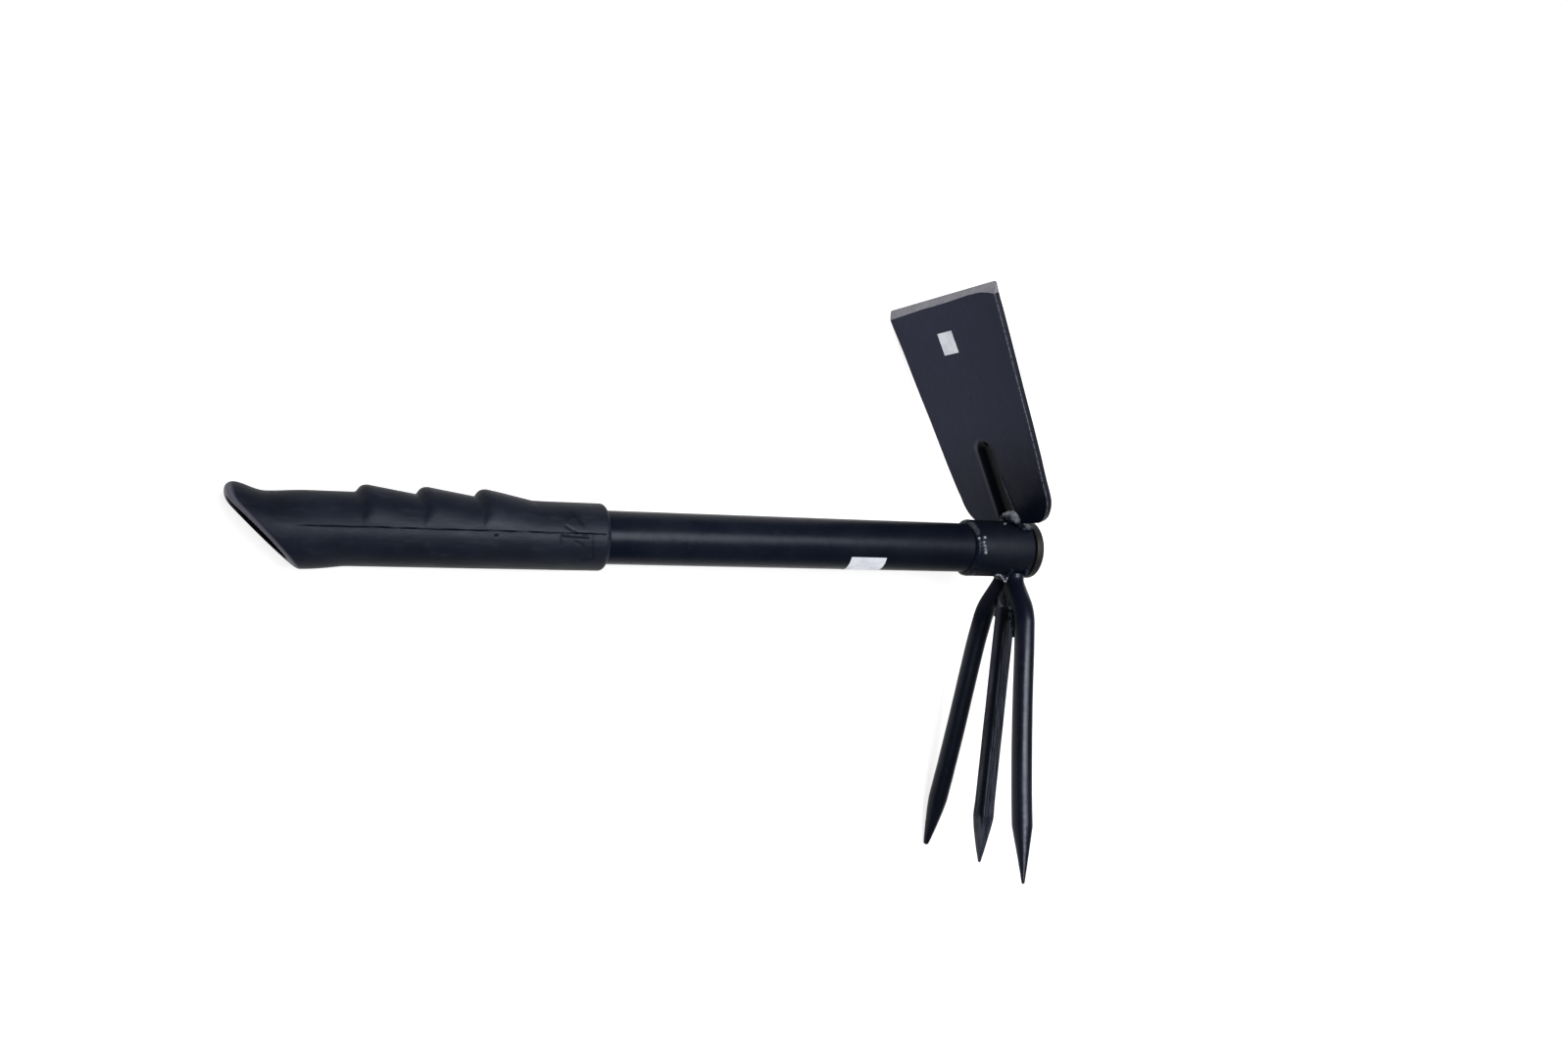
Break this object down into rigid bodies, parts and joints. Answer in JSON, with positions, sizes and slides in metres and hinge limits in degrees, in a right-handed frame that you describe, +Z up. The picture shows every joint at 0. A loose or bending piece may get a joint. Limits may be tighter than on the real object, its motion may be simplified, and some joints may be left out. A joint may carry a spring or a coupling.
{
  "type": "hand digging hoe",
  "caption": "Short hand hoe with a flat blade on one side of a welded head and a fork on the other, on a straight tube handle with a moulded grip.",
  "frame": {"origin": "middle of the tool's footprint, on the surface that it lies on", "axes": "+X along the handle from the grip to the head, +Y towards the blade, +Z up from the surface that the tool lies on"},
  "size_m": [0.4018, 0.299, 0.1093],
  "materials": {
    "black_paint": "satin black enamel, sprayed over the welds",
    "grip_rubber": "satin charcoal soft vinyl, moulded",
    "plug_plastic": "matt brownish grey, moulded",
    "label_foil": "bare silver sticker"
  },
  "bodies": {
    "root": {"handle_tube": "black_paint", "socket": "black_paint", "blade": "black_paint", "tine_upper": "black_paint", "tine_middle": "black_paint", "tine_lower": "black_paint", "weld_socket_to_tube": "black_paint", "weld_blade_inner": "black_paint", "weld_blade_outer": "black_paint", "weld_fork_inner": "black_paint", "weld_fork_outer": "black_paint", "weld_crotch": "black_paint", "grip": "grip_rubber", "end_plug": "plug_plastic", "label_blade": "label_foil", "label_handle": "label_foil"}
  },
  "joints": []
}
